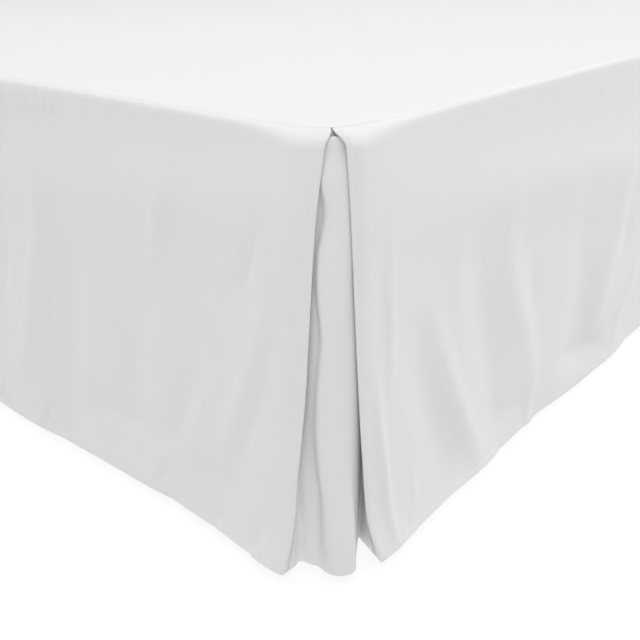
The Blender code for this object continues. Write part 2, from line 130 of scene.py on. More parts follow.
# Turns of the cloth at the folds and at the seams behind them: how far the points beside a
# turn lie from it, and how far they are held apart. The turn behind the left fold is
# rounder towards the hem.
FOLD_REACH = 0.0040
FOLD_SPREAD = 0.0019
INNER_REACH = 0.0050
INNER_SPREAD = 0.0018
HEM_REACH = 0.0040
HEM_REACH_POWER = 6
PANEL_REACH = 0.05
DENT_CLEARANCE = 0.035

# The top of a pleat strip
RETURN_TOP = 0.0153
STRIP_TOP_ANGLE = math.radians(65)
STRIP_ROLL_SHARE = 0.625
STRIP_LENGTHENING = 0.009
STRIP_TOP_ROWS = 8
STRIP_COLUMNS = 112

# How far from a fold its flare still lifts the drop beside it, and its lean shifts it
LEFT_FOLD_FADE = 0.070
RIGHT_FOLD_FADE = 0.110
SHIFT_FADE = 0.090
FADE_POWER = 2.6

# Soft folds of the drops, a row for each fold: distance of its foot from the drop's left
# end as seen from outside, lean towards that end on the way up, half-width, and how far
# it stands out at the hem.
FOLD_COLUMNS = ("place", "lean", "width", "rise")
FOLD_POWER = 1.4
FOOT_FOLDS = (
    (0.165, 0.020, 0.070, 0.0050), (0.330, 0.006, 0.055, -0.0030),
    (0.470, -0.010, 0.060, 0.0048), (0.640, 0.004, 0.075, -0.0024),
    (0.790, 0.008, 0.060, 0.0040), (0.930, -0.004, 0.060, -0.0022),
    (1.085, -0.012, 0.060, 0.0052), (1.215, -0.020, 0.050, -0.0016),
    (1.330, -0.024, 0.045, 0.0022),
)
RIGHT_FOLDS = (
    (0.235, 0.020, 0.075, 0.0052), (0.345, 0.012, 0.045, -0.0010),
    (0.440, 0.010, 0.050, 0.0014), (0.560, -0.004, 0.055, 0.0014),
    (0.690, -0.014, 0.060, -0.0018), (0.830, 0.008, 0.070, 0.0044),
    (1.010, -0.006, 0.065, -0.0026), (1.160, 0.012, 0.060, 0.0040),
    (1.330, 0.004, 0.075, -0.0020), (1.500, -0.010, 0.065, 0.0046),
    (1.690, 0.006, 0.070, -0.0022), (1.860, -0.008, 0.060, 0.0036),
)
LEFT_FOLDS = (
    (0.150, 0.006, 0.065, 0.0034), (0.320, -0.008, 0.070, -0.0024),
    (0.510, 0.010, 0.065, 0.0046), (0.690, -0.004, 0.060, -0.0018),
    (0.850, 0.008, 0.075, 0.0038), (1.030, -0.010, 0.060, -0.0026),
    (1.190, 0.004, 0.065, 0.0044), (1.370, -0.012, 0.060, 0.0020),
    (1.530, 0.006, 0.070, -0.0020), (1.700, -0.016, 0.060, 0.0040),
    (1.830, -0.020, 0.050, -0.0012),
)

# Creases on the drops, a row for each: half-width, how far it stands out (or in, if
# negative), and the places that it runs through, as distance along the edge from the
# right foot corner (negative on the foot) and depth below the deck. It tapers to both
# ends and is highest a little past its middle.
CREASE_COLUMNS = ("width", "rise", "line")
CREASE_TAPER = 0.6
CREASE_STRENGTH = 1.6
CREASE_SKEW = 1.5
FOOT_CREASES = (
    (0.0140, 0.0027, ((-0.351, 0.041), (-0.367, 0.118), (-0.394, 0.222),
                      (-0.416, 0.293), (-0.431, 0.331))),
    (0.0260, -0.0036, ((-0.328, 0.080), (-0.336, 0.173), (-0.345, 0.264), (-0.359, 0.390))),
    (0.0100, -0.0016, ((-0.421, 0.109), (-0.454, 0.252))),
    (0.0110, 0.0024, ((-0.173, 0.039), (-0.178, 0.079), (-0.184, 0.104), (-0.196, 0.146))),
    (0.0065, -0.0022, ((-0.051, 0.062), (-0.062, 0.091), (-0.074, 0.121), (-0.085, 0.145))),
    (0.0140, 0.0034, ((-0.044, 0.088), (-0.052, 0.144), (-0.061, 0.182),
                      (-0.072, 0.223), (-0.086, 0.255), (-0.113, 0.313))),
    (0.0140, -0.0020, ((-0.031, 0.140), (-0.045, 0.178), (-0.057, 0.215),
                       (-0.069, 0.254), (-0.082, 0.286), (-0.095, 0.324))),
    (0.0140, -0.0026, ((-0.139, 0.195), (-0.149, 0.248), (-0.162, 0.286), (-0.183, 0.324))),
    (0.0180, 0.0012, ((-0.127, 0.230), (-0.137, 0.280), (-0.161, 0.323))),
    (0.0210, -0.0028, ((-0.219, 0.172), (-0.234, 0.238), (-0.249, 0.335))),
    (0.0160, -0.0014, ((-0.285, 0.255), (-0.290, 0.332))),
    (0.0150, -0.0030, ((-0.367, 0.338), (-0.287, 0.325), (-0.247, 0.322), (-0.184, 0.322))),
    (0.0120, -0.0022, ((-0.150, 0.329), (-0.087, 0.333))),
    (0.0220, 0.0036, ((-0.432, 0.389), (-0.316, 0.384), (-0.260, 0.383), (-0.182, 0.385))),
    (0.0180, 0.0030, ((-0.185, 0.386), (-0.113, 0.393), (-0.065, 0.409))),
    (0.0060, -0.0022, ((-0.071, 0.394), (-0.054, 0.367), (-0.036, 0.338))),
    (0.0400, 0.0034, ((-0.600, 0.118), (-0.330, 0.096), (-0.133, 0.075), (0.000, 0.062))),
    (0.0041, 0.0013, ((-0.458, 0.342), (-0.476, 0.381))),
    (0.0038, -0.0013, ((-0.467, 0.345), (-0.484, 0.380))),
    (0.0041, 0.0013, ((-0.390, 0.345), (-0.404, 0.382))),
    (0.0038, -0.0013, ((-0.379, 0.344), (-0.392, 0.380))),
    (0.0041, 0.0012, ((-0.354, 0.339), (-0.361, 0.372))),
    (0.0054, -0.0014, ((-0.208, 0.380), (-0.184, 0.349))),
    (0.0041, -0.0010, ((-0.120, 0.392), (-0.107, 0.369))),
)
SIDE_CREASES = (
    (0.0065, 0.0024, ((0.030, 0.185), (0.036, 0.245), (0.043, 0.299),
                      (0.048, 0.345), (0.055, 0.386))),
    (0.0054, 0.0013, ((0.052, 0.060), (0.055, 0.151), (0.057, 0.232))),
    (0.0060, -0.0010, ((0.038, 0.110), (0.040, 0.182))),
    (0.0145, 0.0034, ((0.116, 0.155), (0.138, 0.219), (0.161, 0.266),
                      (0.187, 0.317), (0.222, 0.378))),
    (0.0270, -0.0032, ((0.083, 0.157), (0.108, 0.233), (0.134, 0.296), (0.170, 0.355))),
    (0.0200, 0.0030, ((0.253, 0.095), (0.266, 0.156), (0.282, 0.204),
                      (0.303, 0.243), (0.323, 0.281), (0.343, 0.345))),
    (0.0090, 0.0018, ((0.352, 0.310), (0.345, 0.338), (0.336, 0.360), (0.333, 0.392))),
    (0.0300, -0.0044, ((0.196, 0.105), (0.224, 0.211), (0.243, 0.267), (0.264, 0.375))),
    (0.0140, -0.0024, ((0.225, 0.348), (0.330, 0.350))),
    (0.0130, -0.0012, ((0.314, 0.158), (0.338, 0.244))),
    (0.0360, -0.0034, ((0.430, 0.115), (0.466, 0.232), (0.486, 0.372))),
    (0.0250, 0.0034, ((0.551, 0.110), (0.560, 0.195), (0.548, 0.222),
                      (0.532, 0.248), (0.520, 0.285), (0.510, 0.345))),
    (0.0170, -0.0020, ((0.582, 0.178), (0.594, 0.250))),
    (0.0100, 0.0020, ((0.656, 0.240), (0.621, 0.305), (0.588, 0.332), (0.560, 0.378))),
    (0.0300, -0.0022, ((0.436, 0.254), (0.444, 0.358))),
    (0.0150, -0.0026, ((0.377, 0.340), (0.543, 0.347))),
    (0.0220, 0.0040, ((0.091, 0.401), (0.171, 0.400), (0.261, 0.397))),
    (0.0140, 0.0018, ((0.270, 0.398), (0.359, 0.393))),
    (0.0220, 0.0034, ((0.349, 0.388), (0.472, 0.386), (0.619, 0.386))),
    (0.0135, 0.0010, ((0.170, 0.105), (0.172, 0.200))),
    (0.0400, 0.0048, ((-0.020, 0.055), (0.078, 0.072), (0.139, 0.086),
                      (0.208, 0.092), (0.330, 0.103), (0.660, 0.138))),
    (0.0041, -0.0010, ((0.080, 0.353), (0.073, 0.379))),
    (0.0041, 0.0010, ((0.089, 0.316), (0.095, 0.366))),
)

# Short puckers that hang from the seam, a row for each: place along the edge from the right
# foot corner, length and rise
PUCKER_WIDTH = 0.0032
PUCKER_TOP = 0.002
PUCKERS = (
    (-0.183, 0.020, 0.0012), (-0.211, 0.016, 0.0010), (-0.248, 0.018, 0.0010),
    (-0.285, 0.020, 0.0013), (-0.331, 0.028, 0.0018), (-0.342, 0.024, 0.0017),
    (-0.360, 0.030, 0.0019), (-0.372, 0.022, 0.0015), (-0.388, 0.032, 0.0019),
    (-0.396, 0.024, 0.0015), (-0.404, 0.028, 0.0017), (-0.414, 0.034, 0.0019),
)

# Copies of the creases for the lengths that the photo doesn't show, a row for each: the
# drop, how far the copy is moved along the edge, whether it is turned round, its strength
COPY_COLUMNS = ("drop", "shift", "turned", "strength")
FOOT_COPIES = (
    ("foot_drop", 0.0, False, 1.0),
    ("foot_drop", -0.47, False, 0.75),
    ("foot_drop", -1.5085, True, 0.85),
    ("side_drop_right", 1.44, False, 0.7),
    ("side_drop_left", -2.46, True, 0.8),
)
SIDE_COPIES = (
    ("side_drop_right", 0.0, False, 1.0),
    ("side_drop_right", 0.66, False, 0.8),
    ("side_drop_right", 1.30, False, 0.9),
    ("side_drop_left", -1.5085, True, 0.85),
    ("side_drop_left", -2.18, True, 0.9),
    ("side_drop_left", -2.82, True, 0.75),
)

# The seam that joins the drops to the deck: how far round the bend it lies, a row for
# each place, as distance along the edge from the right foot corner and angle in degrees
SEAM_LINE = (
    (-3.60, 14.0), (-1.45, 16.0), (-0.60, 20.0), (-0.20, 23.0), (-0.06, 22.0),
    (-0.02, 14.0), (0.00, 12.0), (0.04, 13.0), (0.30, 15.0), (2.10, 12.0),
)
SEAM_GROOVE = 0.0010
SEAM_GROOVE_WIDTH = 0.0013
SEAM_GROOVE_FADE = 0.05
SEAM_GROOVE_LEAST = 0.4
SEAM_HALF_GAP = math.radians(1.2)

# The bend is round at the foot corners and tighter away from them
BEND_TIGHTNESS = 0.60
BEND_ROUND_REACH = 0.022
BEND_ROUND_FADE = 0.050

# Rows of the cloth: shares of the way round the bend from the seam, and heights above
# the hem
BEND_SHARES = (0.0, 0.025, 0.055, 0.09, 0.14, 0.20, 0.28, 0.37, 0.46, 0.55, 0.64, 0.73,
               0.82, 0.91)
HEM_HEIGHTS = (0.0, 0.0008, 0.002, 0.0035, 0.0050, 0.0058, 0.0064, 0.0070, 0.0076, 0.0084,
               0.0100, 0.013, 0.0175, 0.023)
ROW_PITCH = 0.0065
NARROWEST_COLUMN = 0.0012
COLUMN_GROWTH = 0.08

# Stops of the columns on a pleat's section, from beside the fold round to behind it, and
# from there over the strip's middle
PANEL = 1
LEFT_UNDER = 6
RISE = 7
FLANK = 10
RIGHT_UNDER = 11
SECTION_END = 17
TIP = 2
TURN_FIRST = 1.7
TURN_LAST = 2.3
DROP_STOPS = (1.2, 1.4, 1.55, 1.7, 1.8, 1.9, 2.0, 2.1, 2.2, 2.32, 2.48, 2.68, 2.95, 3.3)
STRIP_FIRST = 3.36

# The bed base: a row for each height of its outline from the middle of the underside to
# the middle of the top, as inset from its faces and height above its underside. The soft
# grooves are the stitched tapes that join its border to its top and underside.
BASE_WIDTH = 1.516
BASE_BOTTOM = 0.1847
BASE_CORNER_RADIUS = 0.032
BASE_LEAST_RADIUS = 0.006
BASE_CORNER_STEPS = 20
BASE_SIDE_STEPS = 24
BASE_TAPE_HEIGHTS = (0.017, 0.189)
BASE_TAPE_DEPTH = 0.0015
BASE_TAPE_WIDTH = 0.0036
BASE_FACE_INSETS = (0.30, 0.16, 0.09, 0.055, 0.040, 0.0315, 0.024, 0.017)
BASE_EDGE_STEPS = 8
BASE_BORDER_STEPS = 80

# The turned legs: a row for each place of a leg's outline from the foot up, as radius and
# height
LEG_PLACES = {"foot": -0.858, "middle": 0.018, "head": 0.894}
LEG_SIDE = 0.622
LEG_OUTLINE = (
    (0.0100, 0.0000), (0.0200, 0.0000), (0.0226, 0.0001), (0.0235, 0.0006),
    (0.0240, 0.0018), (0.0241, 0.0040), (0.0242, 0.0060), (0.0254, 0.0330),
    (0.0266, 0.0600), (0.0280, 0.0920), (0.0294, 0.1240), (0.0306, 0.1520),
    (0.0311, 0.1640), (0.0312, 0.1656), (0.0307, 0.1664), (0.0307, 0.1676),
    (0.0312, 0.1684), (0.0314, 0.1700), (0.0319, 0.1824), (0.0317, 0.1836),
    (0.0311, 0.1842), (0.0302, 0.1844), (0.0120, 0.1844),
)
LEG_SIDES = 72

# The edge path
SIDE_RUN = BED_LENGTH - CORNER_RADIUS
FOOT_RUN = BED_WIDTH - 2 * CORNER_RADIUS
ARC_RUN = CORNER_RADIUS * math.pi / 2
LEFT_CORNER = SIDE_RUN + ARC_RUN / 2
RIGHT_CORNER = LEFT_CORNER + ARC_RUN + FOOT_RUN
PATH_END = RIGHT_CORNER + ARC_RUN / 2 + SIDE_RUN
HALF_WIDTH = BED_WIDTH / 2
HEAD_Y = FOOT_Y + BED_LENGTH
BASE_FRONT = FOOT_Y + BASE_INSET
BASE_BACK = HEAD_Y
INNER_TURN = 0.006

# The drops, a row for each: node, start and end along the edge, soft folds, the folds at
# its ends, and its widest column
DROPS = (
    ("side_drop_left", 0.0, LEFT_CORNER, LEFT_FOLDS, ("left_fold",), 0.0045),
    ("foot_drop", LEFT_CORNER, RIGHT_CORNER, FOOT_FOLDS, ("right_fold", "left_fold"),
     0.0033),
    ("side_drop_right", RIGHT_CORNER, PATH_END, RIGHT_FOLDS, ("right_fold",), 0.0042),
)

# The deck's flat rings, by their distance in from the edge; its rings over the bend, by
# their share of the way to the seam; its columns, by their count and by the first one's
# share of the side or of half the foot
DECK_INSETS = (0.0128, 0.014, 0.0165, 0.020, 0.025, 0.033, 0.045, 0.062, 0.085, 0.115)
DECK_RING_PITCH = 0.036
DECK_BEND_SHARES = (0.0, 0.3, 0.55, 0.75, 0.88, 0.94, 0.97, 1.0)
DECK_SIDE_START = 0.002
DECK_SIDE_COLUMNS = 60
DECK_FOOT_START = 0.003
DECK_FOOT_COLUMNS = 44
DECK_ARC_COLUMNS = 25
DECK_WELD = 0.00002

# Slight unevenness of the deck, which grows from an inset over a distance
DECK_WAVE = 0.00022
DECK_WAVE_LENGTH = 0.16
DECK_WAVE_INSET = 0.015
DECK_WAVE_GROWTH = 0.06

# Finishes: pairs of colours that are mixed unevenly, and the pitch of the threads
CLOTH_COLOURS = ((0.789, 0.789, 0.788), (0.811, 0.811, 0.810))
COVER_COLOURS = ((0.56, 0.55, 0.52), (0.68, 0.67, 0.64))
WOOD_COLOURS = ((0.22, 0.125, 0.062), (0.42, 0.27, 0.155))
THREAD_PITCH = 0.0005
WHITE = (1.0, 1.0, 1.0)

# Camera, from the photo's perspective
CAMERA_PLACE = (1.1550, -1.4914, 0.5229)
CAMERA_PITCH = 23.569
CAMERA_HEADING = 39.387
CAMERA_LENS = 50.0

# Soft studio light, a row for each softbox: two high overhead, a weak one in front of the
# corner and one low beyond each side. The sky is even, and the pale floor glows as in a
# product photo.
LAMP_COLUMNS = ("name", "place", "aim", "size", "power")
LAMPS = (
    ("overhead softbox", (1.2, -1.3, 4.4), (0.4, -0.5, 0.3), 4.0, 130.0),
    ("back softbox", (-0.3, 0.9, 4.5), (-0.1, 0.3, 0.3), 4.0, 65.0),
    ("front softbox", (2.6, -3.2, 2.2), (0.7, -0.9, 0.2), 2.0, 27.0),
    ("left softbox", (-4.2, -2.6, 1.3), (0.2, -1.0, 0.2), 2.4, 64.0),
    ("right softbox", (2.3, 4.0, 1.3), (0.76, -0.3, 0.2), 2.4, 95.0),
)
SKY_STRENGTH = 0.16
FLOOR_ALBEDO = 0.15
FLOOR_GLOW = 0.86
FLOOR_SIZE = 12.0


def path_points(along, out):
    """Positions on lines that follow the edge at a distance out."""
    along, out = np.broadcast_arrays(np.asarray(along, float), np.asarray(out, float))
    left = np.clip(along / SIDE_RUN, 0.0, 1.0)
    first = np.clip((along - SIDE_RUN) / ARC_RUN, 0.0, 1.0)
    foot = np.clip((along - SIDE_RUN - ARC_RUN) / FOOT_RUN, 0.0, 1.0)
    second = np.clip((along - SIDE_RUN - ARC_RUN - FOOT_RUN) / ARC_RUN, 0.0, 1.0)
    right = (along - SIDE_RUN - 2 * ARC_RUN - FOOT_RUN) / SIDE_RUN
    right = np.maximum(right, 0.0)
    radius = np.minimum(np.maximum(CORNER_RADIUS + out, INNER_TURN), HALF_WIDTH + out)
    half = HALF_WIDTH + out - radius
    centre_y = FOOT_Y - out + radius
    run = HEAD_Y - centre_y
    angle = math.pi + (first + second) * math.pi / 2
    x = -half + 2 * half * foot + radius * np.cos(angle)
    y = HEAD_Y - left * run + right * run + radius * np.sin(angle)
    return x, y


def cloth_points(along, out, below):
    """World positions of points of the skirt. Cloth that swings out also rises a little."""
    along, out, below = np.broadcast_arrays(along, out, below)
    x, y = path_points(along, out)
    swing = np.maximum(out, 0.0) ** 2 / (2 * DROP) * (np.maximum(below, 0.0) / DROP) ** 2
    return np.stack([x, y, DECK_Z - below + swing], axis=-1)


def unit(vector):
    return vector / np.linalg.norm(vector)


def hermite(start, leave, end, arrive, t):
    """Cubic from start to end with the given slopes; t runs from 0 to 1."""
    return ((1 + 2 * t) * (1 - t) ** 2 * start + t * (1 - t) ** 2 * leave
            + t * t * (3 - 2 * t) * end + t * t * (t - 1) * arrive)


def smooth_between(levels, values, at):
    """Smooth curve through values given at rising levels."""
    slopes = np.gradient(values, levels, axis=0)
    index = int(np.clip(np.searchsorted(levels, at) - 1, 0, len(levels) - 2))
    span = levels[index + 1] - levels[index]
    t = np.clip((at - levels[index]) / span, 0.0, 1.0)
    return hermite(values[index], span * slopes[index],
                   values[index + 1], span * slopes[index + 1], t)


def spline(points, at):
    """Curve through a row of points; at is a point's index, or a place between two."""
    index = int(min(max(math.floor(at), 0), len(points) - 2))
    before = points[max(index - 1, 0)]
    start, end = points[index], points[index + 1]
    after = points[min(index + 2, len(points) - 1)]
    chord = np.linalg.norm(end - start)
    leave = chord * unit(end - before)
    arrive = chord * unit(after - start)
    return hermite(start, leave, end, arrive, at - index)


def pleat_keys(below):
    """The named places of the pleat's section at one depth."""
    levels = np.array([row[0] for row in PLEAT_SECTIONS])
    keys = {}
    for column, name in enumerate(PLEAT_COLUMNS[1:], start=1):
        values = np.array([row[column] for row in PLEAT_SECTIONS])
        keys[name] = smooth_between(levels, values, max(below, PLEAT_TOP))
    return keys


def beside_turn(tip, toward_outer, toward_inner, reach, spread):
    """The points on either side of a fold's tip, held apart where the fold is closed."""
    outer = unit(toward_outer - tip)
    inner = unit(toward_inner - tip)
    closed = max(0.0, float(outer @ inner))
    lift = np.array((0.0, spread * closed))
    return tip + reach * outer + lift, tip + reach * inner - lift


@functools.lru_cache(maxsize=None)
def pleat_section(below):
    """Points of the whole pleat at one depth, from beside its left fold to its right."""
    keys = pleat_keys(below)
    away = np.array((PANEL_REACH, 0.0))
    left_fold, left_seam = keys["left_fold"], keys["left_seam"]
    right_fold, right_seam = keys["right_fold"], keys["right_seam"]
    inner_reach = INNER_REACH + HEM_REACH * (below / DROP) ** HEM_REACH_POWER
    left_panel, left_return = beside_turn(
        left_fold, left_fold - away, left_seam, FOLD_REACH, FOLD_SPREAD)
    left_back, left_under = beside_turn(
        left_seam, left_return, keys["rise"], inner_reach, INNER_SPREAD)
    right_panel, right_return = beside_turn(
        right_fold, right_fold + away, right_seam, FOLD_REACH, FOLD_SPREAD)
    right_back, right_under = beside_turn(
        right_seam, right_return, keys["flank"], INNER_REACH, INNER_SPREAD)
    return np.array([
        left_panel - away, left_panel, left_fold, left_return, left_back, left_seam,
        left_under, keys["rise"], keys["crest"], keys["shoulder"], keys["flank"],
        right_under, right_seam, right_back, right_return, right_fold, right_panel,
        right_panel + away])


def section_place(below, sign, stop):
    """A place on the pleat's section, counted from the side of the given fold."""
    section = pleat_section(round(float(below), 6))
    return spline(section, stop if sign < 0 else SECTION_END - stop)


# The folds' layers by depth, for the drops beside them
DEPTH_COUNT = 93
DEPTHS = np.linspace(PLEAT_TOP, DROP, DEPTH_COUNT)
LAYER = {sign: np.array([section_place(depth, sign, PANEL)[1] for depth in DEPTHS])
         for sign in (-1, 1)}
FOLD_TIP = {sign: np.array([section_place(depth, sign, TIP)[0] for depth in DEPTHS])
            for sign in (-1, 1)}


def arch_tip(below, side):
    """Where a fold's tip lies along the path on the bend."""
    depths = [row[0] for row in ARCH]
    places = [row[ARCH_COLUMNS.index(side)] for row in ARCH]
    return np.interp(below, depths, places)


def fold_shift(end, below):
    """How far a fold's tip has moved along the path from its place at the hem."""
    tips = FOLD_TIP[end["sign"]]
    hanging = np.interp(below, DEPTHS, tips)
    return np.where(below < PLEAT_TOP, arch_tip(below, end["side"]), hanging) - tips[-1]


def fade(distance, reach):
    """A weight that is 1 at a place and falls to a half at the reach from it."""
    return 1.0 / (1.0 + (np.abs(distance) / reach) ** FADE_POWER)


def soft_folds(folds, place, below):
    """How far the soft folds stand out at places of a drop."""
    share = below / DROP
    out = np.zeros(np.broadcast(place, below).shape)
    for row in folds:
        fold = dict(zip(FOLD_COLUMNS, row))
        middle = fold["place"] - fold["lean"] * (1 - share)
        swell = np.exp(-((place - middle) / fold["width"]) ** 2)
        out += fold["rise"] * share ** FOLD_POWER * swell
    return out


def drop_out(drop, place, below):
    """Distance out of a drop's face, at places along it."""
    out = PLAIN_FLARE * (below / DROP) ** FLARE_POWER
    out = out + soft_folds(drop["folds"], place, below)
    for end in drop["ends"]:
        layer = np.interp(below, DEPTHS, LAYER[end["sign"]])
        weight = fade(place - end["fold_at_hem"], end["fade"])
        out = weight * layer + (1 - weight) * out
    return out


def distance_to_line(line, place, below):
    """Distance of points from a line of several stretches, and their share of its length."""
    line = np.array(line)
    steps = np.linalg.norm(np.diff(line, axis=0), axis=1)
    starts = np.cumsum(steps) - steps
    nearest = np.full(np.broadcast(place, below).shape, np.inf)
    travel = np.zeros(nearest.shape)
    for start, end, step, first in zip(line[:-1], line[1:], steps, starts):
        dx, dy = place - start[0], below - start[1]
        ux, uy = (end - start) / step
        run = np.clip(dx * ux + dy * uy, 0.0, step)
        gap = np.hypot(dx - run * ux, dy - run * uy)
        closer = gap < nearest
        nearest = np.where(closer, gap, nearest)
        travel = np.where(closer, first + run, travel)
    return nearest, travel / steps.sum()


def crease_relief(creases, place, below):
    """How far the creases stand out at places of a drop."""
    relief = np.zeros(np.broadcast(place, below).shape)
    for row in creases:
        crease = dict(zip(CREASE_COLUMNS, row))
        nearest, share = distance_to_line(crease["line"], place, below)
        taper = np.sin(math.pi * share ** CREASE_SKEW) ** CREASE_TAPER
        ridge = np.exp(-(nearest / crease["width"]) ** 2)
        relief += CREASE_STRENGTH * crease["rise"] * taper * ridge
    return relief


def moved_creases(creases, copy):
    """The same creases for another place of the edge."""
    turn = -1 if copy["turned"] else 1
    return [(width, rise * copy["strength"],
             tuple((copy["shift"] + turn * place, below) for place, below in line))
            for width, rise, line in creases]


def drop_creases(node):
    """All creases and puckers of one drop."""
    puckers = [(PUCKER_WIDTH, rise, ((place, PUCKER_TOP), (place, PUCKER_TOP + length)))
               for place, length, rise in PUCKERS]
    groups = ((FOOT_CREASES + tuple(puckers), FOOT_COPIES), (SIDE_CREASES, SIDE_COPIES))
    creases = []
    for group, copies in groups:
        for row in copies:
            copy = dict(zip(COPY_COLUMNS, row))
            if copy["drop"] == node:
                creases += moved_creases(group, copy)
    return creases


def hem_relief(below):
    """The doubled hem stands proud of the cloth, with a groove at its stitching."""
    height = DROP - below
    step = np.clip((HEM_DEPTH + HEM_STEP / 2 - height) / HEM_STEP, 0.0, 1.0)
    groove = np.exp(-((height - HEM_DEPTH + HEM_GROOVE_WIDTH) / HEM_GROOVE_WIDTH) ** 2)
    return HEM_RISE * step - HEM_GROOVE * groove


def seam_angle(along):
    """How far round the bend the seam lies."""
    places = [RIGHT_CORNER + row[0] for row in SEAM_LINE]
    return np.radians(np.interp(along, places, [row[1] for row in SEAM_LINE]))


def corner_distance(along):
    """Distance along the edge from the nearer foot corner."""
    return np.minimum(np.abs(along - LEFT_CORNER), np.abs(along - RIGHT_CORNER))


def seam_relief(turned, along):
    """The groove beside the seam; turned is the angle from it round the bend."""
    share = np.clip(corner_distance(along) / SEAM_GROOVE_FADE, SEAM_GROOVE_LEAST, 1.0)
    return -SEAM_GROOVE * share * np.exp(-(turned * SEAM_INSET / SEAM_GROOVE_WIDTH) ** 2)


def bend_shares(turn, along):
    """Shares of the way out and of the way down that the bend has come at a turn."""
    far = np.clip((corner_distance(along) - BEND_ROUND_REACH) / BEND_ROUND_FADE, 0.0, 1.0)
    power = 1 - BEND_TIGHTNESS * far
    return np.sin(turn) ** power, 1 - np.cos(turn) ** power


def drop_end(side, start, end):
    """One end of a drop that goes into a pleat; a left fold is at the drop's right end."""
    if side == "left_fold":
        return {"side": side, "sign": -1, "corner": end, "fade": LEFT_FOLD_FADE,
                "fold_at_hem": end - start + FOLD_TIP[-1][-1]}
    return {"side": side, "sign": 1, "corner": start, "fade": RIGHT_FOLD_FADE,
            "fold_at_hem": FOLD_TIP[1][-1]}


def panel_places(ends, length, widest):
    """Places of a drop's columns between its two ends, close together beside a fold."""
    first, last = 0.0, length
    for end in ends:
        if end["side"] == "right_fold":
            first = end["fold_at_hem"] + FOLD_REACH
        else:
            last = end["fold_at_hem"] - FOLD_REACH
    places = []
    place = first
    while place < last:
        places.append(place)
        nearest = min(abs(place - end["fold_at_hem"]) for end in ends)
        place += min(NARROWEST_COLUMN + COLUMN_GROWTH * nearest, widest)
    places = np.array(places)
    return first + (places - first) * (last - first) / (places[-1] - first)


def hang_heights():
    """Heights above the hem of the hanging rows, from the bend down."""
    top = DROP - BEND_DEPTH
    count = round((top - HEM_HEIGHTS[-1]) / ROW_PITCH)
    plain = np.linspace(top, HEM_HEIGHTS[-1], count + 1)[:-1]
    return np.concatenate([plain, HEM_HEIGHTS[::-1]])


HANG_HEIGHTS = hang_heights()


def hang_depths(start):
    """Depths of the hanging rows under a bend that ends at a depth."""
    share = HANG_HEIGHTS / HANG_HEIGHTS[0]
    return DROP - share * (DROP - start)


def panel_sheet(drop, places):
    """Points of a drop's face, rows by columns, and the facts of its bend by column."""
    pulls = [fade(places - end["fold_at_hem"], SHIFT_FADE) for end in drop["ends"]]
    depth = BEND_DEPTH + np.max(pulls, axis=0) * (PLEAT_TOP - BEND_DEPTH)
    out_at_bend = drop_out(drop, places, depth)
    rough_along = drop["start"] + places + sum(
        pull * fold_shift(end, np.zeros_like(places))
        for end, pull in zip(drop["ends"], pulls))
    seam = seam_angle(rough_along) + SEAM_HALF_GAP
    turn = seam + np.array(BEND_SHARES)[:, None] * (math.pi / 2 - seam)
    groove = seam_relief(turn - seam, rough_along)
    share_out, share_below = bend_shares(turn, rough_along)
    bend_out = -SEAM_INSET + (out_at_bend + SEAM_INSET) * share_out
    bend_below = depth * share_below
    hang_below = np.array([hang_depths(start) for start in depth]).T
    hang_out = drop_out(drop, places, hang_below) + hem_relief(hang_below)
    out = np.concatenate([bend_out, hang_out])
    below = np.concatenate([bend_below, hang_below])
    along = drop["start"] + places + sum(
        pull * fold_shift(end, below) for end, pull in zip(drop["ends"], pulls))
    facing = np.concatenate([turn, np.full(hang_below.shape, math.pi / 2)])
    relief = crease_relief(drop_creases(drop["node"]), along - RIGHT_CORNER, below)
    relief += cloth_waves(along, below)
    apart = np.min([np.abs(places - end["fold_at_hem"]) for end in drop["ends"]], axis=0)
    dent_share = np.clip(apart / DENT_CLEARANCE, 0.0, 1.0) ** 2
    relief = np.where(relief < 0, relief * dent_share, relief)
    relief[:len(turn)] += groove
    out = out + relief * np.sin(facing)
    below = below - relief * np.cos(facing)
    return cloth_points(along, out, below), (rough_along, out_at_bend, depth)


def cloth_waves(along, below):
    """Slight unevenness of hanging cloth, longer down the drop than along it."""
    waves = np.empty(along.shape)
    for index in np.ndindex(along.shape):
        spot = Vector((along[index] / WAVE_ACROSS, below[index] / WAVE_DOWN, 0.0))
        waves[index] = noise.noise(spot)
    return WAVE_HEIGHT * waves * np.clip(below / WAVE_FULL_DEPTH, 0.0, 1.0)


def turned_points(end, stop, seam):
    """Points of one column of a drop that turns in round its fold, from the seam down."""
    sign = end["sign"]
    turn = seam + np.array(BEND_SHARES) * (math.pi / 2 - seam)
    layer, section = LAYER[sign][0], section_place(PLEAT_TOP, sign, stop)
    out = -SEAM_INSET + (layer + SEAM_INSET) * np.sin(turn)
    below = PLEAT_TOP * (1 - np.cos(turn))
    around = math.pi * np.clip((stop - TURN_FIRST) / (TURN_LAST - TURN_FIRST), 0.0, 1.0)
    groove = seam_relief(turn - seam, end["corner"])
    under = -ARCH_UNDER * (1 - math.cos(around)) / 2 + groove
    flat = arch_tip(below, end["side"]) + sign * FOLD_REACH * abs(TIP - stop)
    share = (turn / (math.pi / 2)) ** 3
    along = (1 - share) * flat + share * section[0]
    out = out + (1 - share) * under * np.sin(turn) + share * (section[1] - layer)
    below = below - (1 - share) * under * np.cos(turn)
    points = cloth_points(end["corner"] + along, out, below)
    hang = hang_depths(PLEAT_TOP)
    places = np.array([section_place(depth, sign, stop) for depth in hang])
    hanging = cloth_points(end["corner"] + places[:, 0], places[:, 1], hang)
    return np.concatenate([points, hanging])


